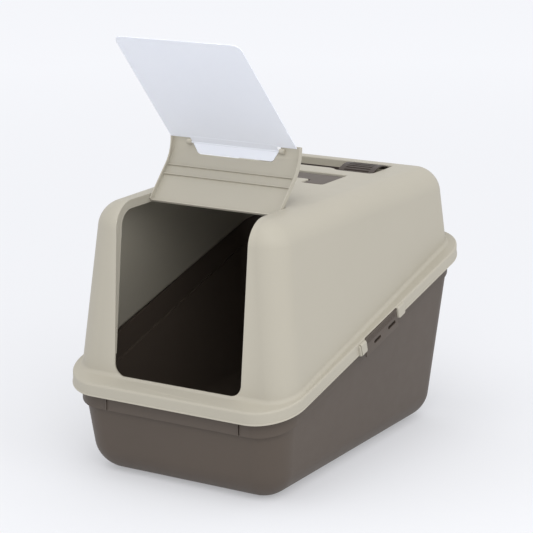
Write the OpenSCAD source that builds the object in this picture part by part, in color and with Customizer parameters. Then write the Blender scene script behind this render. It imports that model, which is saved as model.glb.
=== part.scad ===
// Hooded cat litter box: a deep tray, a lift-off hood, a lift-up front lid with a swing flap,
// two side latches, a fold-flat carry handle, a stowed scoop and a sliding filter holder.
// Origin: centre of the footprint on the floor. +Z up, the entrance faces -Y.

/* [Rim] */
// Length of the hood's rim, front to back
rim_len = 650; // [640:1:660]
// Half width of the rim at the front
rim_half_front = 227; // [224:1:230]
// Half width of the rim at the back
rim_half_back = 240; // [237:1:243]
// Corner radius of the rim
rim_r = 75; // [70:1:80]
// Height of the rim's lower edge above the floor, at the front
rim_front_z = 147; // [144:1:150]
// Slope of the rim, rising to the back
rim_slope = 15; // [14.5:0.1:15.5]
// Height of the hood's outer skirt
skirt_h = 21; // [20:0.5:22]

/* [Shells] */
// Height of the hood's top
hood_top = 470; // [468:1:472]
// Wall thickness of the hood
hood_wall = 2.6; // [2.4:0.1:2.8]
// Wall thickness of the tray
tray_wall = 2.8; // [2.6:0.1:3.0]
// Radius between the tray's floor and its walls
tray_r = 50; // [46:1:54]
// Corner radius of the hood's walls
hood_r = 45; // [42:1:48]
// Radius between the hood's walls and its top
hood_top_r = 42; // [38:1:44]

/* [Entrance] */
// Half width of the entrance at its sill
door_half_low = 126; // [124:1:127]
// Half width of the entrance at the top
door_half_top = 131; // [130:1:132]
// Height of the sill
door_z = 179; // [178:1:182]
// Corner radius at the sill
door_r = 20; // [16:1:24]

/* [Front lid] */
// How far the lid stands open
lid_open = 134; // [130:1:134]
// Thickness of the lid
lid_t = 2.4; // [2.2:0.1:2.6]
// Depth of the lid's side walls
lid_side = 10; // [9:0.5:11]
// Radius of the lid's front curve
lid_r = 75; // [73:1:76]

/* [Flap] */
// Length of the flap below its pins
flap_len = 268; // [262:1:268]
// Thickness of the flap
flap_t = 1.6; // [1.4:0.1:2]

/* [Hidden] */
$fn = 64;

taupe = [0.42, 0.38, 0.36];
beige = [0.76, 0.73, 0.68];
frosted = [0.86, 0.88, 0.93, 0.6];
charcoal = [0.12, 0.12, 0.12];

face_gap = 0.3;               // between faces of parts that move apart
pin_gap = 0.05;               // radial play of a pin in its bore
hull_fn = 32;                 // segments of the shells' blended corners
wide = 600;                   // wider than the whole object
half_len = rim_len / 2;
rise = tan(rim_slope);

// Shell corners as [half width, y of the front, y of the back] at a height
tray_draft = [0.113, 0.096, 0.066];
function tray_at(z) = [189 + tray_draft[0] * z, -289 - tray_draft[1] * z, 283 + tray_draft[2] * z];
hood_draft = [0.1075, 0.086, 0.05];
hood_base_z = 150;
hood_half_front = 218.4;
hood_half_back = 233.7;
hood_y_front = -292.3;
hood_y_back = 316;

// Lid: axis, end of its flat top, centre of its front curve
lid_y = -160;
lid_z = hood_top - 4.5;
lid_top = hood_top - 0.5;
lid_half = door_half_top - 1.5;
lid_rear = -150.5;
lid_flat_end = -223;
lid_arc_z = lid_top - lid_r;
lid_arc_deg = 45;
lid_pin_r = 2;
lid_pin_len = 6.5;
door_rear = lid_y + 11;

// Flap: its axis sits under the lid's lip
flap_axis_deg = 37.4;
flap_drop = 5;
flap_y = lid_flat_end - (lid_r - flap_drop) * sin(flap_axis_deg);
flap_z = lid_arc_z + (lid_r - flap_drop) * cos(flap_axis_deg);
flap_lean = 4.9;              // leans with the front wall
flap_pin_r = 2;
notch_top = 88;
notch_low = 75;
notch_depth = 30;
notch_deg = 33.5;

// Latches
latch_y = -6.5;
latch_len = 113;
latch_h = 35;
latch_t = 3;
lug_len = 23;
lug_low = -18.7;
lug_top = 4;
latch_pin_r = 2;
latch_pin_len = 7;
latch_slots = [[-16, 10], [35, 11]];    // middle and half length, along the latch

// Recesses in the hood's top
handle_half = 90;
handle_y0 = 40;
handle_y1 = 130;
handle_deep = 16;
island_half = 46;
island_y = 71;
scoop_half = 120;
scoop_y0 = 163;
scoop_y1 = 245;
scoop_deep = 20;
handle_pin = [52, hood_top - 6.5];

// Filter
filter_half = 76;
filter_y0 = 158;
filter_y1 = 250;
filter_z = 424;
filter_h = 20;

function rim_z(y) = rim_front_z + (y + half_len) * rise;
function rim_half(y) = rim_half_front + (rim_half_back - rim_half_front) * (y + half_len) / rim_len;

// Space between two planes parallel to the rim, measured up from the skirt's lower edge
module rim_slab(low, high) {
    rotate([90, 0, 90])
        translate([0, 0, -wide / 2])
            linear_extrude(wide)
                polygon([[-wide, rim_z(-wide) + low], [wide, rim_z(wide) + low],
                         [wide, rim_z(wide) + high], [-wide, rim_z(-wide) + high]]);
}

// Plan of the rim, a rounded trapezium, moved in by d
module rim_plan(d) {
    r = rim_r - d;
    front = [rim_half_front - rim_r, -half_len + rim_r];
    back = [rim_half_back - rim_r, half_len - rim_r];
    run = norm(back - front);
    side = [(back[1] - front[1]) / run, (front[0] - back[0]) / run] * r;
    right = [[front[0], front[1] - r], front + side, back + side, [back[0], back[1] + r]];
    polygon(concat(right, [for (i = [3:-1:0]) [-right[i][0], right[i][1]]]));
    for (sx = [-1, 1]) {
        translate([sx * front[0], front[1]]) circle(r);
        translate([sx * back[0], back[1]]) circle(r);
    }
}

module rim_ring(d_out, d_in, low, high) {
    intersection() {
        linear_extrude(wide)
            difference() {
                rim_plan(d_out);
                rim_plan(d_in);
            }
        rim_slab(low, high);
    }
}

module corners(half_front, half_back, y0, y1, z) {
    for (sx = [-1, 1]) {
        translate([sx * half_front, y0, z]) children();
        translate([sx * half_back, y1, z]) children();
    }
}

// Everything inside the tray's outer wall, or inside its inner wall with t = tray_wall
module tray_body(t) {
    low = tray_at(tray_r);
    high_z = 360;
    high = tray_at(high_z);
    hull() {
        corners(low[0] - tray_r, low[0] - tray_r, low[1] + tray_r, low[2] - tray_r, tray_r)
            sphere(tray_r - t, $fn = hull_fn);
        corners(high[0] - tray_r, high[0] - tray_r, high[1] + tray_r, high[2] - tray_r, high_z)
            cylinder(h = 1, r = tray_r - t, $fn = hull_fn);
    }
}

// Where the tray's lip is cut back for a latch and its lugs
module latch_bay() {
    half = latch_len / 2 + lug_len + 1.6;
    at_latch()
        translate([-3.8, -half, -30])
            cube([20, 2 * half, 60]);
}

module tray() {
    band_in = 17;
    band_low = -31;
    rib_x = 132;
    rib_high = 34;
    lip_in = 3.6;
    lip_low = skirt_h - hood_wall - 4;
    top = skirt_h - hood_wall - face_gap;
    color(taupe) {
        difference() {
            union() {
                intersection() {
                    tray_body(0);
                    rim_slab(-wide, top);
                }
                rim_ring(band_in, band_in + 16, band_low, top);
                difference() {
                    rim_ring(lip_in, band_in + 3, lip_low, top);
                    latch_bay();
                    mirror([1, 0, 0]) latch_bay();
                }
                // two short guide ribs on the front band
                for (x = [-rib_x, rib_x])
                    translate([x - 0.9, -half_len + band_in - 2, rim_front_z + band_low + 5])
                        cube([1.8, 5, rib_high]);
            }
            intersection() {
                tray_body(tray_wall);
                rim_slab(-wide, wide);
            }
        }
    }
}

module hood_body(t) {
    top_z = hood_top - hood_top_r;
    up = top_z - hood_base_z;
    side = hood_draft[0] * up;
    hull() {
        corners(hood_half_front - hood_r, hood_half_back - hood_r,
                hood_y_front + hood_r, hood_y_back - hood_r, hood_base_z - 20)
            cylinder(h = 20, r = hood_r - t, $fn = hull_fn);
        corners(hood_half_front - side - hood_top_r, hood_half_back - side - hood_top_r,
                hood_y_front + hood_draft[1] * up + hood_top_r,
                hood_y_back - hood_draft[2] * up - hood_top_r, top_z)
            sphere(hood_top_r - t, $fn = hull_fn);
    }
}

// The entrance, cut through the front wall and the front of the top
module doorway() {
    slant = (door_half_top - door_half_low) / (hood_top - door_z);
    translate([0, door_rear, 0])
        rotate([90, 0, 0])
            linear_extrude(240) {
                polygon([[-door_half_low, door_z + door_r], [-door_half_low + door_r, door_z],
                         [door_half_low - door_r, door_z], [door_half_low, door_z + door_r],
                         [door_half_top, hood_top + 5], [-door_half_top, hood_top + 5]]);
                for (sx = [-1, 1])
                    translate([sx * (door_half_low - door_r + slant * door_r), door_z + door_r])
                        circle(door_r);
            }
}

// A shallow pan let down into the hood's top
module pan_box(half, y0, y1, deep, grow) {
    translate([-half - grow, y0 - grow, hood_top - deep - grow])
        cube([2 * (half + grow), y1 - y0 + 2 * grow, deep + grow - 0.01 + (grow > 0 ? 0 : 5)]);
}

// Where the latch's axis meets the middle of the latch, on the +X side
function latch_axis() = [rim_half(latch_y) - 3.2, latch_y, rim_z(latch_y) + skirt_h - hood_wall - 3];

// Children drawn in the latch's own frame: x out, y along the rim, z away from it
module at_latch() {
    translate(latch_axis()) rotate([rim_slope, 0, -1.15]) children();
}

module hood_lugs() {
    for (s = [-1, 1])
        at_latch()
            translate([-2.5, s * (latch_len / 2 + 0.6 + lug_len / 2) - lug_len / 2, lug_low])
                cube([8, lug_len, lug_top - lug_low]);
}

module latch_bores() {
    at_latch()
        rotate([90, 0, 0])
            cylinder(h = latch_len + 2 * latch_pin_len + 1, r = latch_pin_r + pin_gap, center = true);
}

module latch_notch() {
    at_latch()
        translate([-5, -latch_len / 2 - 0.6, -30])
            cube([20, latch_len + 1.2, 33]);
}

module hood() {
    lip = 2.5;
    lip_deep = 15;
    rail_gap = 0.4;
    rail_t = 3;
    rail_len = 100;
    rail_y = (filter_y0 + filter_y1) / 2;
    color(beige) {
        difference() {
            union() {
                // shell
                difference() {
                    intersection() {
                        hood_body(0);
                        rim_slab(skirt_h - hood_wall, wide);
                    }
                    hood_body(hood_wall);
                    doorway();
                }
                // rim: a flat ledge and an outer skirt
                difference() {
                    intersection() {
                        linear_extrude(wide) rim_plan(0);
                        rim_slab(0, skirt_h);
                    }
                    intersection() {
                        linear_extrude(wide) rim_plan(hood_wall);
                        rim_slab(-5, skirt_h - hood_wall);
                    }
                    hood_body(hood_wall);
                    latch_notch();
                    mirror([1, 0, 0]) latch_notch();
                }
                // lips round the top of the entrance, and bosses for the lid's pins
                intersection() {
                    difference() {
                        hood_body(0.5);
                        hood_body(lip_deep);
                    }
                    union() {
                        for (sx = [-1, 1])
                            translate([sx * (door_half_top + lip / 2), door_rear + lip - 90, hood_top - 35])
                                cube([lip, 180, 80], center = true);
                        translate([0, door_rear + lip / 2, hood_top - 20])
                            cube([2 * door_half_top + 2 * lip, lip, 40], center = true);
                    }
                }
                intersection() {
                    hood_body(0.5);
                    for (sx = [-1, 1])
                        translate([sx * (door_half_top + 4), lid_y, lid_z])
                            rotate([0, 90, 0])
                                cylinder(h = 8, r = 4, center = true);
                }
                // pans for the handle and the scoop
                pan_box(handle_half, handle_y0, handle_y1, handle_deep, hood_wall);
                pan_box(scoop_half, scoop_y0, scoop_y1, scoop_deep, hood_wall);
                // rails for the filter holder
                for (sx = [-1, 1]) {
                    translate([sx * (filter_half + rail_gap + rail_t / 2), rail_y, filter_z + 12])
                        cube([rail_t, rail_len, 30], center = true);
                    translate([sx * (filter_half + rail_gap), rail_y, filter_z - face_gap - 1])
                        cube([2 * rail_t, rail_len, 2], center = true);
                }
                hood_lugs();
                mirror([1, 0, 0]) hood_lugs();
            }
            difference() {
                pan_box(handle_half, handle_y0, handle_y1, handle_deep, 0);
                translate([-island_half, handle_y0 - 5, hood_top - handle_deep - 1])
                    cube([2 * island_half, island_y - handle_y0 + 5, handle_deep + 1]);
            }
            pan_box(scoop_half, scoop_y0, scoop_y1, scoop_deep, 0);
            // air slots over the filter
            for (i = [-5:5])
                translate([i * 12 - 2, scoop_y0 + 12, hood_top - scoop_deep - 10])
                    cube([4, scoop_y1 - scoop_y0 - 24, 12]);
            // bores for the latches, the lid and the handle
            latch_bores();
            mirror([1, 0, 0]) latch_bores();
            for (sx = [-1, 1]) {
                translate([sx * (door_half_top + 4), lid_y, lid_z])
                    rotate([0, 90, 0])
                        cylinder(h = 9, r = lid_pin_r + pin_gap, center = true);
                translate([sx * island_half, handle_pin[0], handle_pin[1]])
                    rotate([0, 90, 0])
                        cylinder(h = 14, r = 2 + pin_gap, center = true);
            }
        }
    }
}

// Side view of the lid between two radii of its front curve
module lid_strip(r_in, r_out) {
    translate([lid_flat_end, lid_arc_z])
        intersection() {
            difference() {
                circle(r_out, $fn = 128);
                circle(r_in, $fn = 128);
            }
            polygon([[0, 0], [0, 2 * lid_r], [-2 * lid_r * sin(lid_arc_deg), 2 * lid_r * cos(lid_arc_deg)]]);
        }
    translate([lid_flat_end, lid_arc_z + r_in])
        square([lid_rear - lid_flat_end, r_out - r_in]);
}

module across(half) {
    rotate([90, 0, 90])
        translate([0, 0, -half])
            linear_extrude(2 * half) children();
}

module lid_notch() {
    tip_y = lid_flat_end - lid_r * sin(lid_arc_deg);
    tip_z = lid_arc_z + lid_r * cos(lid_arc_deg);
    translate([0, tip_y, tip_z])
        rotate([notch_deg, 0, 0])
            translate([0, 0, -8])
                linear_extrude(16)
                    polygon([[-notch_top, -6], [notch_top, -6], [notch_top, 6], [notch_low, notch_depth],
                             [-notch_low, notch_depth], [-notch_top, 6]]);
}

// The lid as it lies when closed
module lid_closed() {
    rib_h = 3;
    difference() {
        union() {
            across(lid_half) lid_strip(lid_r - lid_t, lid_r);
            for (sx = [-1, 1]) {
                translate([sx * (lid_half - 1), 0, 0]) across(1) lid_strip(lid_r - lid_side, lid_r);
                translate([sx * (lid_half - 1), lid_y, lid_z])
                    rotate([0, sx * 90, 0])
                        cylinder(h = lid_pin_len, r = lid_pin_r);
                // bosses for the flap's pins
                translate([sx * 93, flap_y, flap_z])
                    rotate([0, 90, 0])
                        cylinder(h = 8, r = 4.4, center = true);
            }
            for (y = [-206, -225])
                translate([0, y, lid_top - lid_t - rib_h / 2])
                    cube([2 * lid_half - 1, 1.8, rib_h + 1], center = true);
        }
        lid_notch();
        for (sx = [-1, 1])
            translate([sx * 93, flap_y, flap_z])
                rotate([0, 90, 0])
                    cylinder(h = 12, r = flap_pin_r + pin_gap, center = true);
    }
}

// Turns what is drawn for the closed lid to the open lid
module lid_pose() {
    translate([0, lid_y, lid_z])
        rotate([-lid_open, 0, 0])
            translate([0, -lid_y, -lid_z])
                children();
}

module front_lid() {
    color(beige) lid_pose() lid_closed();
}

module flap() {
    top_half = 126;
    low_half = 121.5;
    shoulder = 12.5;
    neck_half = 84.5;
    tab_half = notch_low - 0.4;
    tab_len = 18.5;
    corner = 12;
    color(frosted)
        lid_pose()
            translate([0, flap_y, flap_z])
                rotate([-flap_lean, 0, 0]) {
                    // panel
                    translate([0, flap_t / 2, 0])
                        rotate([90, 0, 0])
                            linear_extrude(flap_t) {
                                difference() {
                                    polygon([[-top_half, -shoulder], [top_half, -shoulder],
                                             [low_half, -flap_len + corner], [low_half - corner, -flap_len],
                                             [-low_half + corner, -flap_len], [-low_half, -flap_len + corner]]);
                                }
                                for (sx = [-1, 1])
                                    translate([sx * (low_half - corner + 0.25), -flap_len + corner])
                                        circle(corner);
                                translate([-neck_half, -shoulder - 1])
                                    square([2 * neck_half, shoulder + 1]);
                            }
                    // pins and the bent tab between the lid's bosses
                    rotate([0, 90, 0])
                        cylinder(h = 2 * 96, r = flap_pin_r, center = true);
                    rotate([45, 0, 0])
                        translate([0, 0, -flap_t / 2])
                            linear_extrude(flap_t)
                                polygon([[-neck_half, 0], [neck_half, 0],
                                         [tab_half, tab_len], [-tab_half, tab_len]]);
                }
}

// A latch in its own frame, hanging from its pins
module latch_shape() {
    difference() {
        union() {
            translate([-latch_t / 2 + 0.5, -latch_len / 2, -latch_h + 3])
                cube([latch_t, latch_len, latch_h - 1]);
            for (s = [-1, 1])
                translate([0, s * latch_len / 2, 0])
                    rotate([-90 * s, 0, 0])
                        translate([0, 0, -4])
                            cylinder(h = latch_pin_len + 4, r = latch_pin_r);
            // hooks under the tray's lip
            for (y = latch_slots)
                translate([-7.5, y[0] - 7, -3.5])
                    cube([7.5, 14, 2.2]);
            // grip ribs
            for (i = [0:5], s = [-1, 1])
                translate([1.6, s * (12 + i * 3) - 0.6, -4])
                    cube([1, 1.2, 4]);
        }
        for (y = latch_slots)
            translate([-6, y[0] - y[1], -21])
                cube([12, 2 * y[1], 4.8]);
    }
}

module latch_right() {
    color(taupe) at_latch() latch_shape();
}

module latch_left() {
    color(taupe) mirror([1, 0, 0]) at_latch() latch_shape();
}

module carry_handle() {
    leg_in = island_half + 1;
    leg_out = handle_half - 3;
    bar_y0 = island_y + 4;
    bar_y1 = handle_y1 - 8;
    h = 9;
    z0 = handle_pin[1] - 4.5;
    color(taupe)
        difference() {
            union() {
                for (sx = [-1, 1]) {
                    translate([sx > 0 ? leg_in : -leg_out, handle_pin[0], z0])
                        cube([leg_out - leg_in, bar_y1 - handle_pin[0], h]);
                    translate([sx * (leg_in + leg_out) / 2, handle_pin[0], handle_pin[1]])
                        rotate([0, 90, 0])
                            cylinder(h = leg_out - leg_in, r = 4.5, center = true);
                    translate([sx * (leg_in - 2), handle_pin[0], handle_pin[1]])
                        rotate([0, 90, 0])
                            cylinder(h = 8, r = 2, center = true);
                }
                translate([-leg_out, bar_y0, z0])
                    cube([2 * leg_out, bar_y1 - bar_y0, h]);
            }
            // hollow underside of the grip
            translate([-leg_out + 6, bar_y0 + 3, z0 - 1])
                cube([2 * leg_out - 12, bar_y1 - bar_y0 - 6, h - 2]);
        }
}

module scoop() {
    paddle_x0 = 8;
    paddle_x1 = 112;
    mid_y = (scoop_y0 + scoop_y1) / 2;
    paddle_half = 37;
    floor_z = hood_top - scoop_deep + 0.4;
    dome_r = 62;
    dome_t = 2.4;
    dome_h = 26;
    color(taupe) {
        // arched paddle, lying on its edges, with slots
        difference() {
            translate([paddle_x0, mid_y, floor_z + dome_h - dome_r])
                rotate([0, 90, 0])
                    difference() {
                        cylinder(h = paddle_x1 - paddle_x0, r = dome_r, $fn = 96);
                        translate([0, 0, 3]) cylinder(h = 200, r = dome_r - dome_t, $fn = 96);
                    }
            translate([-50, mid_y - 200, floor_z - 200]) cube([300, 400, 200]);
            for (s = [-1, 1])
                translate([-50, mid_y + (s > 0 ? paddle_half : -200 - paddle_half), floor_z - 50])
                    cube([300, 200, 200]);
            for (i = [-4:4])
                translate([paddle_x0 + 16, mid_y + i * 7 - 1.5, floor_z + 4]) cube([76, 3, 40]);
        }
        // grip
        translate([-112, mid_y - 14, floor_z])
            cube([paddle_x0 + 113, 28, 3]);
        for (s = [-1, 1])
            translate([-112, mid_y + s * 13 - 1.2, floor_z])
                cube([paddle_x0 + 113, 2.4, 12]);
        translate([-112, mid_y - 14, floor_z]) cube([2.4, 28, 12]);
    }
}

module filter_holder() {
    t = 2;
    color(taupe)
        difference() {
            translate([-filter_half, filter_y0, filter_z])
                cube([2 * filter_half, filter_y1 - filter_y0, filter_h]);
            translate([-filter_half + t, filter_y0 + t, filter_z + t])
                cube([2 * (filter_half - t), filter_y1 - filter_y0 - 2 * t, filter_h]);
            for (i = [-5:5])
                translate([i * 12 - 2, filter_y0 + 10, filter_z - 1])
                    cube([4, filter_y1 - filter_y0 - 20, 4]);
        }
}

module carbon_filter() {
    inset = 2.3;
    color(charcoal)
        translate([-filter_half + inset, filter_y0 + inset, filter_z + 2.1])
            cube([2 * (filter_half - inset), filter_y1 - filter_y0 - 2 * inset, 10]);
}

tray();
hood();
front_lid();
flap();
latch_left();
latch_right();
carry_handle();
scoop();
filter_holder();
carbon_filter();
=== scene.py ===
import math

import bmesh
import bpy
from mathutils import Matrix, Vector


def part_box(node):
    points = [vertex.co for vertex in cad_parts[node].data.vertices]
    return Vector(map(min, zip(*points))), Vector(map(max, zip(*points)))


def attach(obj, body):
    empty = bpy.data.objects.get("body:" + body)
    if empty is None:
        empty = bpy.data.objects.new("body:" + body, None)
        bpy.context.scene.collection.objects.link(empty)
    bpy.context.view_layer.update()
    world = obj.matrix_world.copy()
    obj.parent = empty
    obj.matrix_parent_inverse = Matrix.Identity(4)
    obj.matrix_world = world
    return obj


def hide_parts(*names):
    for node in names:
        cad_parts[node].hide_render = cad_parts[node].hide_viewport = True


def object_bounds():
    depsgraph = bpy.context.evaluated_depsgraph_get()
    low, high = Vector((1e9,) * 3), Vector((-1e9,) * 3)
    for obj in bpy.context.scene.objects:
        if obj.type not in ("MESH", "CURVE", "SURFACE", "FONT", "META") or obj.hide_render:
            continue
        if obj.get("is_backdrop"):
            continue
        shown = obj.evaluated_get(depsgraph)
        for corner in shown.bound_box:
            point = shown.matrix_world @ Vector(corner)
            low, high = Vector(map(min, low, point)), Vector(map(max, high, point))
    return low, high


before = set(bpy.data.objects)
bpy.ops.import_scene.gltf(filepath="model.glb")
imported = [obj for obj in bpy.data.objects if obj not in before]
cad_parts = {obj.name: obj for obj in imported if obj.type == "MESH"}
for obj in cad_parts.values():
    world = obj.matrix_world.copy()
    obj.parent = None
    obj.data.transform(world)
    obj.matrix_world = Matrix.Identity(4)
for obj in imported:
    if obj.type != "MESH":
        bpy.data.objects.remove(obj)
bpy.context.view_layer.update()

# ---------------------------------------------------------------------------------------
# Tray. One deep injection moulding in taupe polypropylene, with drafted walls, a generous
# floor radius, and a stiffening band under its sloping rim. A flat lip round the top of the
# band carries the hood.
# ---------------------------------------------------------------------------------------
rim_slope = math.radians(15)
hood_low, hood_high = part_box("hood")
rim_front, rim_back = hood_low.y, hood_high.y
rim_edge_z = hood_low.z  # lower edge of the hood's skirt, at the front
rim_half_front, rim_half_back = 0.227, 0.240
rim_corner = 0.075
skirt_height = 0.021
hood_wall = 0.0026
plane_normal = Vector((0, -math.sin(rim_slope), math.cos(rim_slope)))


def rim_z(y):
    """Height of the skirt's lower edge at a place along the rim."""
    return rim_edge_z + (y - rim_front) * math.tan(rim_slope)


def only(piece):
    """Leaves edit mode and makes one piece the only one selected."""
    if bpy.context.object and bpy.context.object.mode != "OBJECT":
        bpy.ops.object.mode_set(mode="OBJECT")
    bpy.ops.object.select_all(action="DESELECT")
    if piece:
        piece.select_set(True)
        bpy.context.view_layer.objects.active = piece


def pick(piece, kind, test):
    """In edit mode, selects the vertices, edges or faces that pass a test."""
    only(piece)
    bpy.ops.object.mode_set(mode="EDIT")
    bpy.ops.mesh.select_mode(type=kind)
    bpy.ops.mesh.select_all(action="DESELECT")
    shape = bmesh.from_edit_mesh(piece.data)
    for part in {"VERT": shape.verts, "EDGE": shape.edges, "FACE": shape.faces}[kind]:
        if test(part):
            part.select_set(True)
    shape.select_flush_mode()
    bmesh.update_edit_mesh(piece.data)


def drafted_block(name, low, high):
    """A cube drawn out between two levels: half width in front and behind, y of both ends, z."""
    only(None)
    bpy.ops.mesh.primitive_cube_add(size=1)
    block = bpy.context.object
    block.name = name
    for v in block.data.vertices:
        half_front, half_back, front, back, z = high if v.co.z > 0 else low
        half = half_front if v.co.y < 0 else half_back
        v.co = (math.copysign(half, v.co.x), front if v.co.y < 0 else back, z)
    return block


def box_block(name, low, high):
    """A cube between two corners."""
    only(None)
    centre, size = (Vector(low) + Vector(high)) / 2, Vector(high) - Vector(low)
    bpy.ops.mesh.primitive_cube_add(size=1, location=centre, scale=size)
    block = bpy.context.object
    block.name = name
    bpy.ops.object.transform_apply(location=True, rotation=True, scale=True)
    return block


def round_edges(piece, radius, steps, test):
    """Bevels the edges that pass a test."""
    pick(piece, "EDGE", test)
    bpy.ops.mesh.bevel(
        offset=radius, segments=steps, profile=0.5, affect="EDGES", clamp_overlap=False
    )
    only(piece)


def upright(edge):
    """Whether an edge stands rather than lies."""
    a, b = (v.co for v in edge.verts)
    return abs(a.z - b.z) > 0.7 * (a - b).length


def at_height(z):
    """A test for edges that lie at one height."""
    return lambda edge: all(abs(v.co.z - z) < 1e-5 for v in edge.verts)


def cut_at_rim(piece, offset, keep_below, fill=True):
    """Cuts a piece with the plane that lies this far above the skirt's lower edge."""
    pick(piece, "VERT", lambda v: True)
    bpy.ops.mesh.bisect(
        plane_co=(0, rim_front, rim_edge_z + offset),
        plane_no=plane_normal,
        use_fill=fill,
        clear_outer=keep_below,
        clear_inner=not keep_below,
    )
    only(piece)


def rim_block(name, inset, low, high):
    """A block with the rim's plan, moved in by inset, between two planes along the rim."""
    ends = (rim_half_front - inset, rim_half_back - inset, rim_front + inset, rim_back - inset)
    block = drafted_block(name, (*ends, 0.0), (*ends, 0.5))
    round_edges(block, rim_corner - inset, 20, upright)
    cut_at_rim(block, high, True)
    if low is not None:
        cut_at_rim(block, low, False)
    return block


def combine(piece, other, operation):
    """Adds another solid to a piece, or cuts it away."""
    join = piece.modifiers.new("join", "BOOLEAN")
    join.operation, join.solver, join.object = operation, "EXACT", other
    only(piece)
    bpy.ops.object.modifier_apply(modifier=join.name)
    bpy.data.objects.remove(other)


def close_seams(piece):
    """Merges the slivers that cuts and bevels leave, so that the wall stays closed."""
    sliver = 0.000004
    only(piece)
    bpy.ops.object.mode_set(mode="EDIT")
    bpy.ops.mesh.select_mode(type="VERT")
    bpy.ops.mesh.select_all(action="SELECT")
    bpy.ops.mesh.remove_doubles(threshold=sliver)
    only(piece)


def finish_moulding(piece, edge, steps=2):
    """Breaks the sharp edges as a mould does, and shades the walls smoothly."""
    if edge:
        broken = piece.modifiers.new("broken edges", "BEVEL")
        broken.width, broken.segments = edge, steps
        broken.limit_method, broken.angle_limit = "ANGLE", math.radians(42)
        broken.use_clamp_overlap = True
        bpy.ops.object.modifier_apply(modifier=broken.name)
    if edge > 0.0004:
        close_seams(piece)
    bpy.ops.object.shade_smooth_by_angle(angle=math.radians(36))
    flat = piece.modifiers.new("flat faces", "WEIGHTED_NORMAL")
    flat.keep_sharp = True
    bpy.ops.object.modifier_apply(modifier=flat.name)


def new_material(name):
    """A node material and its main shader."""
    material = bpy.data.materials.new(name)
    material.use_nodes = True
    return material, material.node_tree.nodes["Principled BSDF"]


def add_node(material, kind, links, **values):
    """Adds a shader node; its sockets are set by name, or linked to the outputs given."""
    node = material.node_tree.nodes.new("ShaderNode" + kind)
    if kind == "Mix":
        node.data_type = "RGBA"
    for socket, value in values.items():
        node.inputs[socket.replace("_", " ")].default_value = value
    for socket, output in links.items():
        material.node_tree.links.new(output, node.inputs[socket])
    return node


def noise(material, scale, detail):
    """Noise in the piece's own coordinates."""
    place = add_node(material, "TexCoord", {}).outputs["Object"]
    return add_node(material, "TexNoise", {"Vector": place}, Scale=scale, Detail=detail).outputs["Fac"]


def add_relief(material, shader, height, strength, distance):
    """Raises the surface by a pattern."""
    bump = add_node(material, "Bump", {"Height": height}, Strength=strength, Distance=distance)
    material.node_tree.links.new(bump.outputs["Normal"], shader.inputs["Normal"])


def moulded_plastic(name, colour, tint, roughness):
    """Matt polypropylene: a slow drift in colour, a fine spark-eroded grain, and paler edges that are
    partly rubbed wear and partly a painted highlight.
    """
    material, shader = new_material(name)
    links = material.node_tree.links
    drift = add_node(material, "Mix", {"Factor": noise(material, 6, 3)}, A=(*colour, 1), B=(*tint, 1))
    # sharp convex edges are lightened: partly rubbed wear, partly a painted highlight along the edges
    corners = add_node(material, "NewGeometry", {}).outputs["Pointiness"]
    rubbed_and_highlit = add_node(
        material, "MapRange", {"Value": corners}, From_Min=0.52, From_Max=0.64, To_Max=0.55
    )
    worn_and_highlit = add_node(
        material,
        "Mix",
        {"Factor": rubbed_and_highlit.outputs["Result"], "A": drift.outputs["Result"]},
        B=(*[min(1, c * 1.25 + 0.02) for c in colour], 1),
    )
    links.new(worn_and_highlit.outputs["Result"], shader.inputs["Base Color"])
    sheen = add_node(
        material,
        "MapRange",
        {"Value": noise(material, 45, 4)},
        To_Min=roughness - 0.05,
        To_Max=roughness + 0.06,
    )
    links.new(sheen.outputs["Result"], shader.inputs["Roughness"])
    add_relief(material, shader, noise(material, 1400, 2), 0.05, 0.0003)
    shader.inputs["Specular IOR Level"].default_value = 0.32
    return material


taupe = moulded_plastic("taupe_polypropylene", (0.082, 0.064, 0.050), (0.094, 0.074, 0.058), 0.5)

# half width in front and behind, y of both ends, z
tray_foot = (0.189, 0.189, -0.289, 0.283, 0)
tray_mouth = (0.2297, 0.2297, -0.3236, 0.3068, 0.36)
tray_corner, tray_floor_radius, tray_wall = 0.052, 0.048, 0.0028
tray = drafted_block("tray_moulding", tray_foot, tray_mouth)
round_edges(tray, tray_corner, 16, upright)
round_edges(tray, tray_floor_radius, 14, at_height(0))
brim_top = skirt_height - hood_wall - 0.0003
brim_inset, brim_t = 0.0036, 0.004
cut_at_rim(tray, brim_top, True)
band_inset, band_low = 0.017, -0.031
combine(tray, rim_block("band", band_inset, band_low, brim_top), "UNION")
combine(tray, rim_block("brim", brim_inset, brim_top - brim_t, brim_top), "UNION")
well_foot, well_mouth = (
    (front - tray_wall, back - tray_wall, near + tray_wall, far - tray_wall, z)
    for (front, back, near, far, _), z in ((tray_foot, tray_wall), (tray_mouth, tray_mouth[4]))
)
well_corner = 0.050
well = drafted_block("well", well_foot, well_mouth)
round_edges(well, well_corner, 16, upright)
round_edges(well, tray_floor_radius - 0.002, 14, at_height(tray_wall))
combine(tray, well, "DIFFERENCE")
combine(tray, rim_block("step", band_inset + tray_wall, band_low + tray_wall, 0.05), "DIFFERENCE")

# the brim is cut back where the latches and their lugs hang
latch_y, latch_length, lug_length = -0.0065, 0.113, 0.023
pin_inset, pin_drop, toe_in = 0.0032, 0.003, math.radians(-1.15)
latch_pivot = Vector(
    (
        rim_half_front
        + (rim_half_back - rim_half_front) * (latch_y - rim_front) / (rim_back - rim_front)
        - pin_inset,
        latch_y,
        rim_z(latch_y) + skirt_height - hood_wall - pin_drop,
    )
)
latch_place = (
    Matrix.Translation(latch_pivot)
    @ Matrix.Rotation(toe_in, 4, "Z")
    @ Matrix.Rotation(rim_slope, 4, "X")
)
mirror_x = Matrix.Diagonal((-1, 1, 1, 1))


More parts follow.
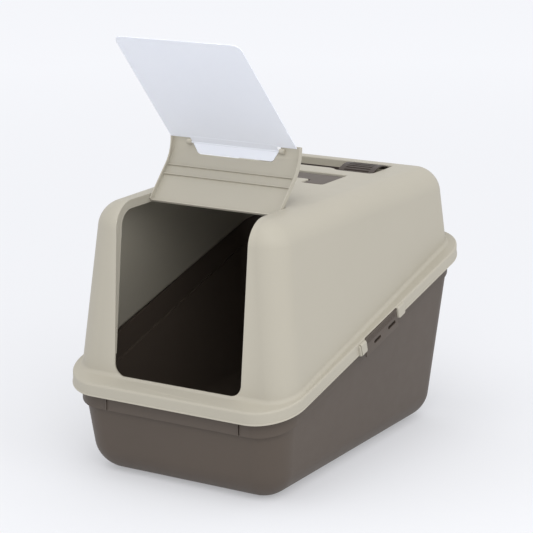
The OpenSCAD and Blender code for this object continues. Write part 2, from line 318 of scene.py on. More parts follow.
def put(piece, place):
    """Moves a piece's mesh to its place, and keeps its faces outwards if the place is mirrored."""
    only(piece)
    piece.data.transform(place)
    if place.determinant() < 0:
        piece.data.flip_normals()
    return piece


bay_half, bay_high = latch_length / 2 + lug_length + 0.0016, 0.03
bay_inner, bay_outer = -0.0038, 0.0162
for side in (Matrix.Identity(4), mirror_x):
    bay = box_block("bay", (bay_inner, -bay_half, -bay_high), (bay_outer, bay_half, bay_high))
    combine(tray, put(bay, side @ latch_place), "DIFFERENCE")


def side_box(name, side, low, high):
    """A box on the right-hand side (1), or its mirror image on the left (-1)."""
    x0, x1 = sorted((side * low[0], side * high[0]))
    return box_block(name, (x0, *low[1:]), (x1, *high[1:]))


# two guide ribs on the front band, each with a narrow groove on its outer side
rib_x, rib_t, rib_high, rib_stand, groove_t = 0.132, 0.0018, 0.034, 0.0022, 0.0016
rib_outer = rib_x + rib_t / 2
band_face = rim_front + band_inset
band_foot = rim_z(band_face) + band_low
rib_top = band_foot + rib_high
for side in (-1, 1):
    rib = side_box(
        "rib",
        side,
        (rib_x - rib_t / 2, band_face - rib_stand, band_foot + 0.0006),
        (rib_outer, band_face + 0.002, rib_top),
    )
    combine(tray, rib, "UNION")
    groove = side_box(
        "groove",
        side,
        (rib_outer, band_face - 0.001, band_foot - 0.001),
        (rib_outer + groove_t, band_face + 0.0021, rib_top),
    )
    combine(tray, groove, "DIFFERENCE")
finish_moulding(tray, 0.0007)
tray.data.materials.append(taupe)
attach(tray, "tray")
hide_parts("tray")

# ---------------------------------------------------------------------------------------
# Hood. One thin-walled moulding in beige polypropylene. Its rounded box runs out through a
# fillet into a flat ledge and a short skirt that drops over the tray's lip. The front and the
# front of the top are open, and two pans are let down into the top.
# ---------------------------------------------------------------------------------------
beige = moulded_plastic("beige_polypropylene", (0.432, 0.403, 0.332), (0.412, 0.384, 0.315), 0.48)

hood_top = 0.470
# half width in front and behind, y of both ends, z
body_low = (0.2184, 0.2337, -0.2923, 0.316, 0.150)
body_high = (0.1840, 0.1993, -0.26478, 0.300, hood_top)
body_corner, top_radius = 0.044, 0.042


def hood_block(name, inset):
    """The hood's rounded box, moved in by inset on every side."""
    levels = [
        (front - inset, back - inset, near + inset, far - inset, z)
        for front, back, near, far, z in (body_low, body_high)
    ]
    levels[1] = (*levels[1][:4], hood_top - inset)
    block = drafted_block(name, *levels)
    round_edges(block, body_corner - inset, 16, upright)
    round_edges(block, top_radius - inset, 16, at_height(hood_top - inset))
    return block


hood = hood_block("hood_moulding", 0)


def prism(name, outline, low, high, axis="Z"):
    """A disc drawn out to an outline and extruded between two heights, or along y."""
    only(None)
    bpy.ops.mesh.primitive_circle_add(vertices=len(outline), radius=1, fill_type="NGON")
    block = bpy.context.object
    block.name = name
    for v, (a, b) in zip(block.data.vertices, outline):
        v.co = (a, b, low) if axis == "Z" else (a, low, b)
    only(block)
    bpy.ops.object.mode_set(mode="EDIT")
    bpy.ops.mesh.select_all(action="SELECT")
    drawn = (0, 0, high - low) if axis == "Z" else (0, high - low, 0)
    bpy.ops.mesh.extrude_region_move(TRANSFORM_OT_translate={"value": drawn})
    bpy.ops.mesh.select_all(action="SELECT")
    bpy.ops.mesh.normals_make_consistent(inside=False)
    only(block)
    return block


handle_half, handle_front, handle_back = 0.090, 0.040, 0.130
island_half, island_back = 0.046, 0.071
handle_floor, above_top = hood_top - 0.016, hood_top + 0.01
handle_pan_corner, scoop_pan_corner, pan_foot_radius, pan_rim_radius = 0.005, 0.007, 0.003, 0.0022
pocket = prism(
    "handle_pan",
    [
        (-handle_half, handle_front),
        (-island_half, handle_front),
        (-island_half, island_back),
        (island_half, island_back),
        (island_half, handle_front),
        (handle_half, handle_front),
        (handle_half, handle_back),
        (-handle_half, handle_back),
    ],
    handle_floor,
    above_top,
)
round_edges(pocket, handle_pan_corner, 5, upright)
round_edges(pocket, pan_foot_radius, 4, at_height(handle_floor))
combine(hood, pocket, "DIFFERENCE")

scoop_half, scoop_front, scoop_back = 0.120, 0.163, 0.245
scoop_floor = hood_top - 0.020
bulge, bulge_half, bulge_foot = 0.012, 0.034, 0.050
pocket = prism(
    "scoop_pan",
    [
        (-scoop_half, scoop_front),
        (-bulge_foot, scoop_front),
        (-bulge_half, scoop_front + bulge),
        (bulge_half, scoop_front + bulge),
        (bulge_foot, scoop_front),
        (scoop_half, scoop_front),
        (scoop_half, scoop_back),
        (-scoop_half, scoop_back),
    ],
    scoop_floor,
    above_top,
)
round_edges(pocket, scoop_pan_corner, 5, upright)
round_edges(pocket, pan_foot_radius, 4, at_height(scoop_floor))
combine(hood, pocket, "DIFFERENCE")


def pan_rim(edge):
    """The sharp edge where a pan breaks the hood's flat top."""
    if len(edge.link_faces) != 2 or not at_height(hood_top)(edge):
        return False
    return edge.calc_face_angle() > math.radians(60)


round_edges(hood, pan_rim_radius, 4, pan_rim)

# ledge and skirt: the wall's lower edge is drawn out to the rim's plan, then down, and ends
# in a bead that stands out a little
ledge, bead, bead_high = skirt_height, 0.0007, 0.0024
foot_fillet, ledge_radius = 0.0065, 0.0035
cut_at_rim(hood, ledge, False, fill=False)


def draw_out(piece, move, drop=0):
    """Extrudes the selected edges downwards by drop, then moves each new vertex."""
    bpy.ops.mesh.extrude_region_move(TRANSFORM_OT_translate={"value": (0, 0, drop)})
    shape = bmesh.from_edit_mesh(piece.data)
    for v in shape.verts:
        if v.select:
            move(v)
    bmesh.update_edit_mesh(piece.data)


def on_rim_plane(v, offset):
    return abs(v.co.z - rim_z(v.co.y) - offset) < 1e-5


def open_edge(edge):
    return len(edge.link_faces) == 1


def rim_target(co):
    """The rim's outline beside a point of the wall's outline."""
    half = (rim_half_front if co.y < 0 else rim_half_back) - bead
    end = (rim_front if co.y < 0 else rim_back) - math.copysign(bead, co.y)
    scale = (ledge + rim_edge_z - body_low[4] + (co.y - rim_front) * math.tan(rim_slope)) / (
        body_high[4] - body_low[4]
    )
    body_half_low, body_half_high = (
        (body_low[0], body_high[0]) if co.y < 0 else (body_low[1], body_high[1])
    )
    body_half = body_half_low + (body_half_high - body_half_low) * scale
    end_low, end_high = (body_low[2], body_high[2]) if co.y < 0 else (body_low[3], body_high[3])
    body_end = end_low + (end_high - end_low) * scale
    across = abs(co.x) - (body_half - body_corner)
    along = abs(co.y) - (abs(body_end) - body_corner)
    turn = min(max(math.atan2(max(along, 0), max(across, 1e-9)), 0), math.pi / 2)
    x = half - rim_corner + rim_corner * math.cos(turn)
    y = abs(end) - rim_corner + rim_corner * math.sin(turn)
    return math.copysign(x, co.x), math.copysign(y, co.y)


def to_rim(v):
    """Moves a point of the wall's foot out to the rim."""
    x, y = rim_target(v.co)
    v.co = (x, y, rim_z(y) + ledge)


def stand_out(v, spread):
    """Moves a point of the skirt outwards, along the rim's slope."""
    v.co.x *= 1 + spread / rim_half_front
    v.co.y *= 1 + spread / rim_back
    v.co.z += rim_z(v.co.y) - rim_z(v.co.y / (1 + spread / rim_back))


pick(hood, "EDGE", open_edge)
draw_out(hood, to_rim)
for drop, spread in ((bead_high - skirt_height, 0), (-bead, bead), (bead - bead_high, 0)):
    draw_out(hood, lambda v, spread=spread: stand_out(v, spread), drop)
only(hood)


def rim_outline(edge):
    if len(edge.link_faces) != 2 or not all(on_rim_plane(v, ledge) for v in edge.verts):
        return False
    return any(f.normal.z < 0.3 for f in edge.link_faces) and not wall_foot(edge)


def wall_foot(edge):
    """The edge where the wall stands on the ledge."""
    if len(edge.link_faces) != 2 or not all(on_rim_plane(v, ledge) for v in edge.verts):
        return False
    return any(
        max(v.co.z - rim_z(v.co.y) for v in f.verts) > ledge + 0.005 for f in edge.link_faces
    )


only(hood)
bpy.ops.object.mode_set(mode="EDIT")
bpy.ops.mesh.select_all(action="SELECT")
bpy.ops.mesh.normals_make_consistent(inside=False)
only(hood)
round_edges(hood, foot_fillet, 6, wall_foot)
round_edges(hood, ledge_radius, 5, rim_outline)


def give_wall(piece, thickness):
    """Turns an open skin into a closed wall that grows inwards."""
    shell = piece.modifiers.new("wall", "SOLIDIFY")
    shell.thickness, shell.offset, shell.use_even_offset = thickness, -1, True
    bpy.ops.object.modifier_apply(modifier=shell.name)


def span(edge, axis):
    """How far an edge reaches along x (0) or y (1)."""
    return abs(edge.verts[0].co[axis] - edge.verts[1].co[axis])


give_wall(hood, hood_wall)

# entrance
door_low_half, door_top_half = 0.126, 0.131
door_sill, door_top, door_corner = 0.179, hood_top + 0.02, 0.020
door_back, door_near = -0.149, -0.40
door = prism(
    "door",
    [
        (-door_low_half, door_sill),
        (door_low_half, door_sill),
        (door_top_half, door_top),
        (-door_top_half, door_top),
    ],
    door_back,
    door_near,
    "Y",
)
round_edges(door, door_corner, 10, lambda e: at_height(door_sill)(e) and span(e, 1) > 0.1)
combine(hood, door, "DIFFERENCE")

# a lip follows the wall round the entrance, deepest at the top, with a boss for each lid pin
lip_t, lip_deep, lip_foot, seam = 0.0025, 0.015, 0.215, 0.0002
lip_end, lip_near, top_strip_low = 0.48, -0.33, 0.44


def door_half(z):
    """Half width of the entrance at a height."""
    rise = (z - door_sill) / (door_top - door_sill)
    return door_low_half + (door_top_half - door_low_half) * rise


strips = [
    box_block(
        "strip",
        (-door_top_half, door_back, top_strip_low),
        (door_top_half, door_back + lip_t, lip_end),
    )
]
for side in (-1, 1):
    low, high = side * (door_half(lip_foot) + seam), side * (door_half(lip_end) + seam)
    edges = [
        (low, lip_foot),
        (low + side * lip_t, lip_foot),
        (high + side * lip_t, lip_end),
        (high, lip_end),
    ]
    strips.append(prism("strip", edges, lip_near, door_back + lip_t, "Y"))
for strip in strips:
    combine(strip, hood_block("outside", 0.0006), "INTERSECT")
    combine(strip, hood_block("inside", lip_deep), "DIFFERENCE")
    taper = box_block("taper", (-0.2, -0.3, -0.2), (0.2, 0, 0))
    taper_place = Matrix.Translation((0, -0.255, 0.41)) @ Matrix.Rotation(math.radians(82.3), 4, "X")
    combine(strip, put(taper, taper_place), "DIFFERENCE")
    combine(hood, strip, "UNION")


def round_bar(name, radius, length, centre=(0, 0, 0), along="X", sides=32):
    """A round pin, boss or bore that lies along x or y."""
    only(None)
    turn = (0, math.pi / 2, 0) if along == "X" else (math.pi / 2, 0, 0)
    bpy.ops.mesh.primitive_cylinder_add(
        vertices=sides, radius=radius, depth=length, location=centre, rotation=turn
    )
    bar = bpy.context.object
    bar.name = name
    bpy.ops.object.transform_apply(location=True, rotation=True, scale=True)
    return bar


lid_axis = Vector((0, -0.160, 0.4655))
boss_radius, boss_length = 0.0038, 0.008
for side in (-1, 1):
    centre = (side * (door_top_half + 0.0045), lid_axis.y, lid_axis.z)
    combine(hood, round_bar("boss", boss_radius, boss_length, centre), "UNION")

# gaps in the skirt for the latches, and the lugs that hold their pins; the front lug bulges
# out further and has a groove
gap_half = latch_length / 2 + 0.0009
lug_inner, lug_low, lug_high, lug_corner = -0.0025, -0.0187, 0.0040, 0.0045
pin_bore = 0.00205
for side in (Matrix.Identity(4), mirror_x):
    for inner, ceiling in ((-0.005, 0.0026), (-0.0014, 0.0042)):
        gap = box_block("gap", (inner, -gap_half, -0.03), (0.015, gap_half, ceiling))
        round_edges(gap, 0.004, 4, lambda e: span(e, 0) > 0.01)
        combine(hood, put(gap, side @ latch_place), "DIFFERENCE")
    for end, out in ((-1, 0.0075), (1, 0.0058)):
        y0 = end * (gap_half - seam + lug_length / 2) - lug_length / 2
        lug = box_block("lug", (lug_inner, y0, lug_low), (out, y0 + lug_length, lug_high))
        round_edges(lug, lug_corner, 6, lambda e: span(e, 0) > 0.006)
        outer = min(out - 0.0030, 0.0038)
        round_edges(lug, outer, 5, lambda e: all(v.co.x > out - 0.0001 for v in e.verts))
        if end < 0:
            groove_y = y0 + lug_length * 0.12
            groove = box_block(
                "groove", (0.0036, groove_y - 0.0009, -0.03), (0.01, groove_y + 0.0009, 0.01)
            )
            combine(lug, groove, "DIFFERENCE")
        combine(hood, put(lug, side @ latch_place), "UNION")
    bore = round_bar("bore", pin_bore, latch_length + 0.015, along="Y")
    combine(hood, put(bore, side @ latch_place), "DIFFERENCE")

# air slots over the filter, and rails for its holder
air_pitch, air_half, air_radius = 0.012, 0.002, 0.0019
for i in range(-5, 6):
    air = box_block(
        "air",
        (i * air_pitch - air_half, scoop_front + 0.016, scoop_floor - 0.01),
        (i * air_pitch + air_half, scoop_back - 0.012, scoop_floor + 0.002),
    )
    round_edges(air, air_radius, 3, upright)
    combine(hood, air, "DIFFERENCE")
holder_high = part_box("filter_holder")[1]
rail_x, rail_t = holder_high.x + 0.0004, 0.003
rail_front, rail_back, rail_foot, rail_top = 0.154, 0.254, 0.421, 0.4492
for side in (-1, 1):
    rail = side_box(
        "rail", side, (rail_x, rail_front, rail_foot), (rail_x + rail_t, rail_back, rail_top)
    )
    combine(hood, rail, "UNION")
    foot = side_box(
        "foot", side, (rail_x - rail_t, rail_front, 0.4217), (rail_x + rail_t, rail_back, 0.4237)
    )
    combine(hood, foot, "UNION")

# a small raised bar moulded on the front ledge
mark = box_block("mark", (-0.005, -0.0006, -0.001), (0.005, 0.0006, 0.0005))
mark_y = rim_front + 0.010
mark_place = Matrix.Translation((0, mark_y, rim_z(mark_y) + ledge))
combine(hood, put(mark, mark_place @ Matrix.Rotation(rim_slope, 4, "X")), "UNION")
finish_moulding(hood, 0.0007)
hood.data.materials.append(beige)
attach(hood, "hood")
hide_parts("hood")

# ---------------------------------------------------------------------------------------
# Front lid. A beige moulding that closes the top front corner of the hood: a flat strip and
# a quarter curve with shallow walls along both sides, two ribs across its inside, and a notch
# between two bosses that carry the flap. It is drawn closed and then swung open on its pins.
# ---------------------------------------------------------------------------------------
lid_open = math.radians(134)
lid_top = hood_top - 0.0005
lid_half = 0.1295
lid_rear, lid_bend = -0.1505, -0.223
lid_radius, lid_sweep, curve_steps = 0.075, math.radians(45), 14
lid_wall, lid_side_deep, lid_corner = 0.0022, 0.010, 0.0028
curve_centre = Vector((0, lid_bend, lid_top - lid_radius))
open_lid = (
    Matrix.Translation(lid_axis) @ Matrix.Rotation(-lid_open, 4, "X") @ Matrix.Translation(-lid_axis)
)


def on_curve(radius, turn):
    """A point of the lid's curve, this far round it."""
    return Vector(
        (0, curve_centre.y - radius * math.sin(turn), curve_centre.z + radius * math.cos(turn))
    )


def follow_curve(v, turn):
    v.co.yz = on_curve(lid_radius, turn).yz


def side_wall(v):
    """Moves a side edge's point in towards the middle of the curve."""
    inward = Vector((0, 0, -1))
    if v.co.y < lid_bend:
        inward = (curve_centre - Vector((0, v.co.y, v.co.z))).normalized()
    v.co += inward * lid_side_deep


only(None)
bpy.ops.mesh.primitive_plane_add(size=1, location=(0, (lid_rear + lid_bend) / 2, lid_top))
lid = bpy.context.object
lid.name = "front_lid_moulding"
lid.scale = (2 * lid_half, lid_rear - lid_bend, 1)
bpy.ops.object.transform_apply(location=True, rotation=True, scale=True)
pick(lid, "EDGE", lambda e: all(v.co.y < lid_bend + 1e-5 for v in e.verts))
for step in range(curve_steps):
    turn = lid_sweep * (step + 1) / curve_steps
    draw_out(lid, lambda v, turn=turn: follow_curve(v, turn))
pick(
    lid,
    "EDGE",
    lambda e: open_edge(e)
    and all(abs(abs(v.co.x) - lid_half) < 1e-5 for v in e.verts)
    and span(e, 0) < 1e-5,
)
draw_out(lid, side_wall)
bpy.ops.mesh.select_all(action="SELECT")
bpy.ops.mesh.normals_make_consistent(inside=False)
only(lid)
if max(lid.data.polygons, key=lambda p: p.area).normal.z < 0:
    lid.data.flip_normals()


def sharp(edge):
    return len(edge.link_faces) == 2 and edge.calc_face_angle() > math.radians(60)


round_edges(lid, lid_corner, 4, sharp)
give_wall(lid, lid_wall)
lid_inner_half = lid_half - 0.001
rear_lip = box_block(
    "rear_lip",
    (-lid_inner_half, lid_rear - 0.002, lid_top - 0.0055),
    (lid_inner_half, lid_rear, lid_top - 0.0005),
)
combine(lid, rear_lip, "UNION")
rib_half_t = 0.0009
for y in (-0.206, -0.225):
    rib = box_block(
        "rib",
        (-lid_inner_half, y - rib_half_t, lid_top - lid_wall - 0.0034),
        (lid_inner_half, y + rib_half_t, lid_top - lid_wall + 0.0006),
    )
    combine(lid, rib, "UNION")
flap_axis = on_curve(0.070, math.radians(37.4))
notch_tip, notch_tilt = on_curve(lid_radius, lid_sweep), math.radians(33.5)
notch_half, notch_low_half, notch_deep = 0.088, 0.075, 0.030
notch = prism(
    "notch",
    [
        (-notch_half, -0.006),
        (notch_half, -0.006),
        (notch_half, 0.006),
        (notch_half - 0.0035, 0.012),
        (notch_low_half, notch_deep),
        (-notch_low_half, notch_deep),
        (-notch_half + 0.0035, 0.012),
        (-notch_half, 0.006),
    ],
    -0.008,
    0.008,
)
round_edges(notch, 0.0045, 5, lambda e: upright(e) and e.verts[0].co.y > 0.025)
put(notch, Matrix.Translation(notch_tip) @ Matrix.Rotation(notch_tilt, 4, "X"))
flap_boss_radius, flap_boss_length, flap_boss_x = 0.0044, 0.009, 0.0927
for side in (-1, 1):
    centre = (side * flap_boss_x, flap_axis.y, flap_axis.z)
    boss = round_bar("boss", flap_boss_radius, flap_boss_length, centre, sides=40)
    combine(lid, boss, "UNION")
combine(lid, notch, "DIFFERENCE")
pin_radius = 0.002
for side in (-1, 1):
    centre = (side * (lid_half + 0.0015), lid_axis.y, lid_axis.z)
    combine(lid, round_bar("pin", pin_radius, 0.008, centre, sides=40), "UNION")
finish_moulding(lid, 0.0005)
put(lid, open_lid)
lid.data.materials.append(beige)
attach(lid, "front_lid")
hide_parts("front_lid")

# ---------------------------------------------------------------------------------------
# Flap. A thin frosted sheet of clear polypropylene with a slightly thicker border, a bent tab
# that fills the lid's notch, and a pin at each end of it that clips into the lid's bosses.
# ---------------------------------------------------------------------------------------
flap_top_half, flap_low_half = 0.126, 0.1215
flap_length, flap_shoulder = 0.268, 0.0125
flap_t, flap_corner = 0.0016, 0.014
flap_lean = math.radians(4.9)
border_width, border_step, border_rise = 0.0028, 0.0007, 0.0003
flap = prism(
    "flap_sheet",
    [
        (-flap_top_half, -flap_shoulder),
        (-flap_low_half, -flap_length),
        (flap_low_half, -flap_length),
        (flap_top_half, -flap_shoulder),
    ],
    -flap_t / 2,
    flap_t / 2,
    "Y",
)
round_edges(
    flap, flap_corner, 10, lambda e: span(e, 1) > flap_t / 2 and e.verts[0].co.z < -0.2
)
pick(flap, "FACE", lambda f: abs(f.normal.y) > 0.9)
bpy.ops.mesh.inset(thickness=border_width, depth=0)
bpy.ops.mesh.inset(thickness=border_step, depth=-border_rise)
only(flap)
neck_half, tab_half, tab_length = 0.0862, notch_low_half - 0.0004, 0.0185
tab_corner, tab_bend = 0.0035, math.radians(45)
tab = prism(
    "tab",
    [(-neck_half, 0), (neck_half, 0), (tab_half, tab_length), (-tab_half, tab_length)],
    -flap_t / 2,
    flap_t / 2,
)
round_edges(tab, tab_corner, 5, lambda e: upright(e) and e.verts[0].co.y > 0.01)
put(tab, Matrix.Rotation(tab_bend, 4, "X"))
combine(flap, tab, "UNION")
neck = box_block(
    "neck",
    (-neck_half, -flap_t / 2, -flap_shoulder - 0.004),
    (neck_half, flap_t / 2, 0.0004),
)
combine(flap, neck, "UNION")
combine(flap, round_bar("pin", pin_radius, 0.192), "UNION")
put(flap, open_lid @ Matrix.Translation(flap_axis) @ Matrix.Rotation(-flap_lean, 4, "X"))
finish_moulding(flap, 0.0003)

frosted, shader = new_material("frosted_sheet")
shader.inputs["Transmission Weight"].default_value = 0.18
shader.inputs["IOR"].default_value = 1.3
shader.inputs["Alpha"].default_value = 0.97
cloud = noise(frosted, 14, 3)
milk = add_node(
    frosted, "Mix", {"Factor": cloud}, A=(0.885, 0.91, 0.97, 1), B=(0.915, 0.935, 0.985, 1)
)
frosted.node_tree.links.new(milk.outputs["Result"], shader.inputs["Base Color"])
haze = add_node(frosted, "MapRange", {"Value": cloud}, To_Min=0.40, To_Max=0.55)
frosted.node_tree.links.new(haze.outputs["Result"], shader.inputs["Roughness"])
add_relief(frosted, shader, noise(frosted, 1800, 2), 0.06, 0.0003)
flap.data.materials.append(frosted)
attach(flap, "flap")
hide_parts("flap")

# ---------------------------------------------------------------------------------------
# Latches. One taupe plate a side, hung on its own pins between the hood's lugs. Its hooks
# catch under the tray's lip through two openings, and fine ribs give the fingers a grip.
# ---------------------------------------------------------------------------------------
latch_height, latch_t, latch_corner, latch_rim = 0.035, 0.003, 0.006, 0.0009
plate_inner, plate_top = -latch_t / 2 + 0.0005, 0.0026
plate_outer, latch_half = plate_inner + latch_t, latch_length / 2
slot_low, slot_high, slot_corner = -0.0216, -0.0158, 0.002
pocket_deep, pocket_wall, hook_half = -0.0105, 0.0012, 0.007
for name, side in (("latch_right", Matrix.Identity(4)), ("latch_left", mirror_x)):
    plate = box_block(
        name + "_plate",
        (plate_inner, -latch_half, 0.003 - latch_height),
        (plate_outer, latch_half, plate_top),
    )
    round_edges(plate, latch_corner, 6, lambda e: span(e, 0) > 0.002 and e.verts[0].co.z > 0)
    round_edges(plate, latch_rim, 3, lambda e: all(v.co.x > plate_outer - 1e-5 for v in e.verts))
    combine(plate, round_bar("pin", pin_radius, latch_length + 0.014, along="Y"), "UNION")
    for y, half_slot in ((-0.016, 0.0115), (0.035, 0.0130)):
        hook = box_block("hook", (-0.0075, y - hook_half, -0.0035), (0, y + hook_half, -0.0013))
        combine(plate, hook, "UNION")
        pocket = box_block(
            "pocket",
            (pocket_deep, y - half_slot - pocket_wall, slot_low - pocket_wall),
            (0, y + half_slot + pocket_wall, slot_high + pocket_wall),
        )
        combine(plate, pocket, "UNION")
        opening = box_block(
            "opening",
            (pocket_deep + pocket_wall, y - half_slot, slot_low),
            (0.006, y + half_slot, slot_high),
        )
        round_edges(opening, slot_corner, 4, lambda e: span(e, 0) > 0.01)
        combine(plate, opening, "DIFFERENCE")
    for i in range(-16, 17):
        y = i * 0.003
        rib = box_block("grip", (0.0014, y - 0.0006, -0.0100), (0.0024, y + 0.0006, 0.0004))
        combine(plate, rib, "UNION")
    finish_moulding(plate, 0.0002)
    put(plate, side @ latch_place)
    plate.data.materials.append(taupe)
    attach(plate, name)
    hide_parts(name)

# ---------------------------------------------------------------------------------------
# Carry handle. A taupe U-shaped bar that folds flat into the front pan. Both legs turn on
# pins in the island between them, and the grip is hollow underneath.
# ---------------------------------------------------------------------------------------
leg_in, leg_out = island_half + 0.001, handle_half - 0.003
bar_front, bar_back = island_back + 0.004, handle_back - 0.008
pivot_y, pivot_z = 0.052, hood_top - 0.0065
handle_t, handle_corner, leg_radius, hollow_wall = 0.009, 0.004, 0.0042, 0.003
leg_end = pivot_y - 0.0045
handle = prism(
    "handle_bar",
    [
        (-leg_out, leg_end),
        (-leg_in, leg_end),
        (-leg_in, bar_front),
        (leg_in, bar_front),
        (leg_in, leg_end),
        (leg_out, leg_end),
        (leg_out, bar_back),
        (-leg_out, bar_back),
    ],
    pivot_z - handle_t / 2,
    pivot_z + handle_t / 2,
)
round_edges(handle, handle_corner, 5, lambda e: upright(e) and e.verts[0].co.y > pivot_y)
round_edges(
    handle,
    leg_radius,
    5,
    lambda e: all(abs(v.co.y - leg_end) < 1e-5 for v in e.verts) and not upright(e),
)
for side in (-1, 1):
    centre = (side * (leg_in - 0.002), pivot_y, pivot_z)
    combine(handle, round_bar("pin", pin_radius, 0.008, centre), "UNION")
hollow = box_block(
    "hollow",
    (-leg_out + 2 * hollow_wall, bar_front + hollow_wall, pivot_z - handle_t),
    (leg_out - 2 * hollow_wall, bar_back - hollow_wall, pivot_z + handle_t / 2 - 0.002),
)
combine(handle, hollow, "DIFFERENCE")
finish_moulding(handle, 0.0014, 3)
handle.data.materials.append(taupe)
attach(handle, "carry_handle")
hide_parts("carry_handle")

# ---------------------------------------------------------------------------------------
# Litter scoop. A taupe moulding stowed across the rear pan: an arched, slotted paddle lying
# on its edges, and a channel-section grip.
# ---------------------------------------------------------------------------------------
paddle_near, paddle_far = 0.046, 0.117
scoop_mid = (scoop_front + scoop_back) / 2
paddle_half = 0.037
scoop_z = scoop_floor + 0.0004
dome_radius, dome_t, dome_high = 0.062, 0.0024, 0.026
dome_centre = scoop_z + dome_high - dome_radius
reach, arc_steps = math.asin(paddle_half / dome_radius), 28
turns = [-reach + 2 * reach * i / arc_steps for i in range(arc_steps + 1)]
arc = [
    (scoop_mid + dome_radius * math.sin(turn), dome_centre + dome_radius * math.cos(turn))
    for turn in turns
]


def follow_arc(v, point):
    v.co.y, v.co.z = point


only(None)
bpy.ops.mesh.primitive_plane_add(size=1)
scoop = bpy.context.object
scoop.name = "scoop_moulding"
for v, (x, (y, z)) in zip(
    scoop.data.vertices,
    [(paddle_near, arc[0]), (paddle_far, arc[0]), (paddle_near, arc[1]), (paddle_far, arc[1])],
):
    v.co = (x, y, z)
pick(scoop, "EDGE", lambda e: all(v.co.y > arc[1][0] - 1e-6 for v in e.verts))
for point in arc[2:]:
    draw_out(scoop, lambda v, point=point: follow_arc(v, point))
only(scoop)
if scoop.data.polygons[arc_steps // 2].normal.z < 0:
    scoop.data.flip_normals()
give_wall(scoop, dome_t)
back_inset, back_t = 0.001, 0.0026
back_plate = prism(
    "back_plate",
    [(scoop_mid - paddle_half + back_inset, scoop_z)]
    + [(y, z - 0.0006) for y, z in arc[1:-1]]
    + [(scoop_mid + paddle_half - back_inset, scoop_z)],
    0,
    back_t,
)
turned = Matrix(((0, 0, 1, paddle_near), (1, 0, 0, 0), (0, 1, 0, 0), (0, 0, 0, 1)))
combine(scoop, put(back_plate, turned), "UNION")
sieve_pitch, sieve_half, sieve_margin, sieve_radius = 0.007, 0.0015, 0.010, 0.0014
for i in range(-4, 5):
    y = scoop_mid + i * sieve_pitch
    slot_cut = box_block(
        "slot",
        (paddle_near + sieve_margin, y - sieve_half, scoop_z + 0.004),
        (paddle_far - sieve_margin, y + sieve_half, 0.50),
    )
    round_edges(slot_cut, sieve_radius, 3, upright)
    combine(scoop, slot_cut, "DIFFERENCE")
grip_end, grip_half, grip_high = -0.112, 0.0142, 0.012
channel_half, grip_corner, channel_corner = 0.0118, 0.009, 0.007
grip_top = scoop_z + grip_high
grip = box_block(
    "grip",
    (grip_end, scoop_mid - grip_half, scoop_z),
    (paddle_near + 0.0015, scoop_mid + grip_half, grip_top),
)
round_edges(grip, grip_corner, 6, lambda e: upright(e) and e.verts[0].co.x < grip_end + 0.001)
round_edges(grip, 0.0008, 3, at_height(grip_top))
channel = box_block(
    "channel",
    (grip_end + 0.0024, scoop_mid - channel_half, scoop_z + 0.003),
    (paddle_near, scoop_mid + channel_half, scoop_z + 0.02),
)
round_edges(channel, channel_corner, 6, lambda e: upright(e) and e.verts[0].co.x < grip_end + 0.01)
combine(grip, channel, "DIFFERENCE")
combine(scoop, grip, "UNION")
finish_moulding(scoop, 0)
# the scoop is the same taupe plastic, given a darker colour as painted shade
scoop.data.materials.append(
    moulded_plastic("taupe_polypropylene_painted_shade", (0.050, 0.038, 0.031), (0.060, 0.046, 0.038), 0.5)
)
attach(scoop, "scoop")
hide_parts("scoop")

# ---------------------------------------------------------------------------------------
# Filter holder and filter. A slotted taupe drawer that hangs on the hood's rails under the
# scoop, with a pad of open charcoal foam lying in it.
# ---------------------------------------------------------------------------------------
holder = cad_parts["filter_holder"]
holder.data.materials.clear()
holder.data.materials.append(taupe)

foam_low, foam_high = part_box("carbon_filter")
pad = box_block("carbon_pad", foam_low, foam_high)
pick(pad, "FACE", lambda f: True)
bpy.ops.mesh.subdivide(number_cuts=7)
only(pad)
pad_corner = 0.0018
round_edges(pad, pad_corner, 3, sharp)
finish_moulding(pad, 0)
charcoal, shader = new_material("carbon_foam")
shader.inputs["Roughness"].default_value = 0.95
place = add_node(charcoal, "TexCoord", {}).outputs["Object"]
cells = add_node(charcoal, "TexVoronoi", {"Vector": place}, Scale=600).outputs["Distance"]
black = add_node(
    charcoal, "Mix", {"Factor": cells}, A=(0.006, 0.006, 0.006, 1), B=(0.032, 0.032, 0.034, 1)
)
charcoal.node_tree.links.new(black.outputs["Result"], shader.inputs["Base Color"])
add_relief(charcoal, shader, cells, 0.8, 0.0008)
pad.data.materials.append(charcoal)
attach(pad, "filter")
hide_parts("carbon_filter")
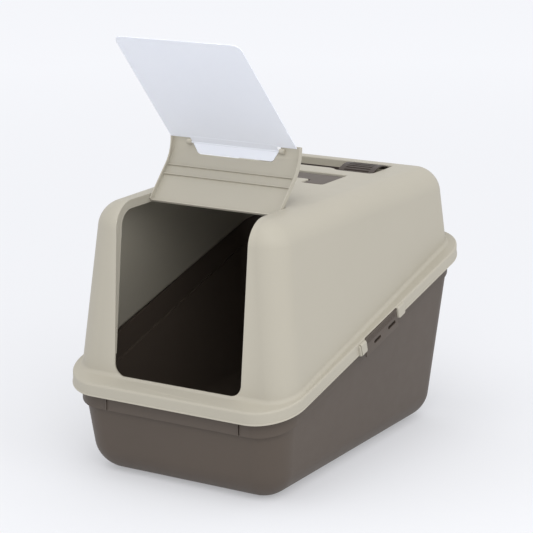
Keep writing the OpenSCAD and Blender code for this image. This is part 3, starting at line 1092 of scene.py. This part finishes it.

# ---------------------------------------------------------------------------------------
# Studio. A pale floor that stretches away to the backdrop and glows as painted light, weaker near the
# object so that a painted shade lies round it; soft light from large panels, and a camera at standing
# height, to the right of the entrance.
# ---------------------------------------------------------------------------------------
only(None)
bpy.ops.mesh.primitive_plane_add(size=60)
floor = bpy.context.object
floor.name = "floor"
paper, shader = new_material("pale_paper")
shader.inputs["Base Color"].default_value = (0.50, 0.505, 0.515, 1)
shader.inputs["Roughness"].default_value = 0.9
shader.inputs["Specular IOR Level"].default_value = 0.0
shader.inputs["Emission Color"].default_value = (0.93, 0.935, 0.965, 1)
# painted light on the floor: its glow is weakest round the object, as a painted shade, and grows
# towards the far floor
away = paper.node_tree.nodes.new("ShaderNodeVectorMath")
away.operation = "LENGTH"
place = add_node(paper, "TexCoord", {}).outputs["Object"]
paper.node_tree.links.new(place, away.inputs[0])
painted_floor_light = add_node(
    paper,
    "MapRange",
    {"Value": away.outputs["Value"]},
    From_Min=0.4,
    From_Max=4.5,
    To_Min=0.35,
    To_Max=0.475,
)
paper.node_tree.links.new(painted_floor_light.outputs["Result"], shader.inputs["Emission Strength"])
floor.data.materials.append(paper)
floor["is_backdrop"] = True

world = bpy.data.worlds.new("studio")
bpy.context.scene.world = world
world.use_nodes = True
world.node_tree.nodes["Background"].inputs["Color"].default_value = (0.93, 0.935, 0.96, 1)
world.node_tree.nodes["Background"].inputs["Strength"].default_value = 1.0


def soft_light(name, place, size, power):
    """A large square panel that faces the middle of the object."""
    panel = bpy.data.lights.new(name, "AREA")
    panel.energy, panel.size = power, size
    lamp = bpy.data.objects.new(name, panel)
    bpy.context.scene.collection.objects.link(lamp)
    lamp.location = place
    lamp.rotation_euler = (Vector((0, 0, 0.2)) - lamp.location).to_track_quat("-Z", "Y").to_euler()


soft_light("key", (1.3, -1.9, 1.8), 1.2, 13)
soft_light("side", (3.2, -0.6, 1.9), 2.0, 17)
soft_light("top", (0.1, -1.2, 3.8), 2.4, 26)

lens = bpy.data.cameras.new("camera")
lens.lens, lens.sensor_width, lens.clip_end = 138.17, 36, 100
camera = bpy.data.objects.new("camera", lens)
bpy.context.scene.collection.objects.link(camera)
camera_place = Vector((1.8365, -2.9724, 1.2129))
azimuth, elevation, roll = (math.radians(turn) for turn in (31.721, 14.331, -0.52))
camera.matrix_world = (
    Matrix.Translation(camera_place)
    @ Matrix.Rotation(azimuth, 4, "Z")
    @ Matrix.Rotation(math.pi / 2 - elevation, 4, "X")
    @ Matrix.Rotation(roll, 4, "Z")
)
bpy.context.scene.camera = camera
bpy.context.scene.view_settings.view_transform = "Standard"

low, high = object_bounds()
